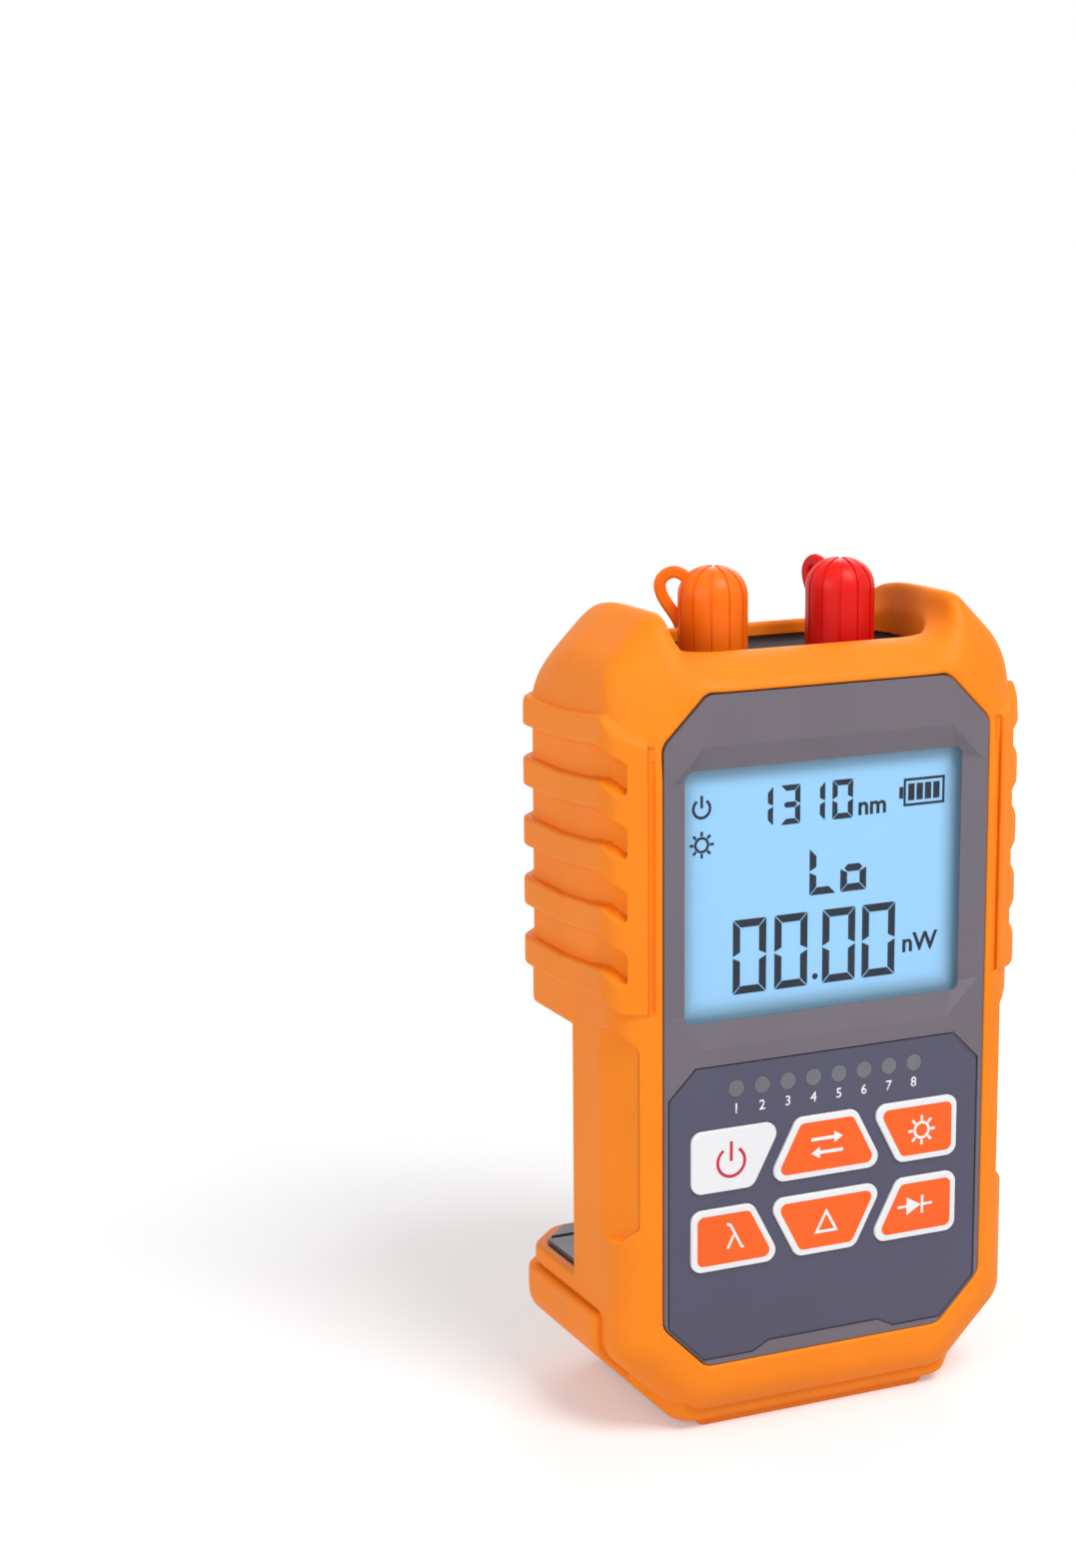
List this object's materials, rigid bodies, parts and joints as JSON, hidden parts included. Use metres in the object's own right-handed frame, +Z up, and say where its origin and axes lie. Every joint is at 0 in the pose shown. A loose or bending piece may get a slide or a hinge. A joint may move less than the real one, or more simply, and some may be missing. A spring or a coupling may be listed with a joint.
{
  "type": "optical power meter",
  "caption": "Handheld optical power meter in an orange rubber boot, with a backlit display, six keys, eight cable-test lamps, two capped fibre ports and a dock in its side.",
  "frame": {"origin": "middle of the housing's footprint, on the plane it stands on", "axes": "+Z up the instrument, from its foot to its fibre ports; -Y out of its face; +X to the right as a person faces it"},
  "size_m": [0.0744, 0.0432, 0.1377],
  "materials": {
    "rubber_orange": "matt soft rubber overmould",
    "plastic_grey": "fine-textured moulded plastic",
    "plastic_grey_rear": "fine-textured moulded plastic",
    "plastic_black": "dark moulded plastic",
    "lens_clear": "clear hard window",
    "lcd_glass": "backlit blue liquid-crystal panel",
    "backlight_white": "white diffuser",
    "frame_white": "moulded white frame",
    "label_film": "printed satin film",
    "lamp_clear": "smoked clear plastic",
    "silicone_grey": "soft silicone",
    "dome_steel": "sprung steel",
    "board_green": "solder-masked laminate",
    "chip_black": "moulded package",
    "lamp_body": "small lamp package",
    "port_metal": "nickel-plated barrel",
    "detector_metal": "gold-plated can",
    "laser_brass": "turned brass",
    "torch_clear": "clear lamp lens",
    "cap_orange": "soft moulded rubber",
    "cap_red": "soft moulded rubber",
    "jack_black": "moulded jack housing",
    "contact_gold": "gold-plated wire",
    "header_black": "pin header",
    "cover_grey": "fine-textured moulded plastic",
    "screw_steel": "zinc-plated steel",
    "contact_nickel": "nickel-plated strip",
    "spring_steel": "nickel-plated spring wire",
    "key_white": "printed satin key cap",
    "key_orange": "printed satin key cap",
    "cell_jacket": "plain cell sleeve"
  },
  "bodies": {
    "housing": {"boot": "rubber_orange", "front_shell": "plastic_grey", "rear_shell": "plastic_grey_rear", "port_plate": "plastic_black", "display_lens": "lens_clear", "display_glass": "lcd_glass", "display_backlight": "backlight_white", "display_frame": "frame_white", "keypad_label": "label_film", "lamp_guide": "lamp_clear", "key_mat": "silicone_grey", "dome_switches": "dome_steel", "main_board": "board_green", "board_chips": "chip_black", "test_lamps": "lamp_body", "power_port": "port_metal", "laser_port": "port_metal", "detector": "detector_metal", "laser_module": "laser_brass", "torch_lamp": "torch_clear", "network_jack": "jack_black", "jack_contacts": "contact_gold", "jack_board": "board_green", "board_header": "header_black", "battery_cover": "cover_grey", "cover_screw": "screw_steel", "housing_screws": "screw_steel", "battery_contacts": "contact_nickel", "battery_springs": "spring_steel", "battery_cell_1": "cell_jacket", "battery_cell_2": "cell_jacket", "battery_cell_3": "cell_jacket"},
    "power_key_body": {"power_key": "key_white"},
    "unit_key_body": {"unit_key": "key_orange"},
    "light_key_body": {"light_key": "key_orange"},
    "wavelength_key_body": {"wavelength_key": "key_orange"},
    "reference_key_body": {"reference_key": "key_orange"},
    "led_key_body": {"led_key": "key_orange"},
    "power_port_cap_body": {"power_port_cap": "cap_orange"},
    "laser_port_cap_body": {"laser_port_cap": "cap_red"}
  },
  "joints": [
    {"name": "power_key_press", "type": "slide", "parent": "housing", "child": "power_key_body", "axis": [0, 1, 0], "range_m": [0, 0.0005], "stiffness_N_per_m": 400},
    {"name": "unit_key_press", "type": "slide", "parent": "housing", "child": "unit_key_body", "axis": [0, 1, 0], "range_m": [0, 0.0005], "stiffness_N_per_m": 400},
    {"name": "light_key_press", "type": "slide", "parent": "housing", "child": "light_key_body", "axis": [0, 1, 0], "range_m": [0, 0.0005], "stiffness_N_per_m": 400},
    {"name": "wavelength_key_press", "type": "slide", "parent": "housing", "child": "wavelength_key_body", "axis": [0, 1, 0], "range_m": [0, 0.0005], "stiffness_N_per_m": 400},
    {"name": "reference_key_press", "type": "slide", "parent": "housing", "child": "reference_key_body", "axis": [0, 1, 0], "range_m": [0, 0.0005], "stiffness_N_per_m": 400},
    {"name": "led_key_press", "type": "slide", "parent": "housing", "child": "led_key_body", "axis": [0, 1, 0], "range_m": [0, 0.0005], "stiffness_N_per_m": 400},
    {"name": "power_port_cap_lift", "type": "slide", "parent": "housing", "child": "power_port_cap_body", "axis": [0, 0, 1], "range_m": [0, 0.015]},
    {"name": "laser_port_cap_lift", "type": "slide", "parent": "housing", "child": "laser_port_cap_body", "axis": [0, 0, 1], "range_m": [0, 0.015]}
  ]
}
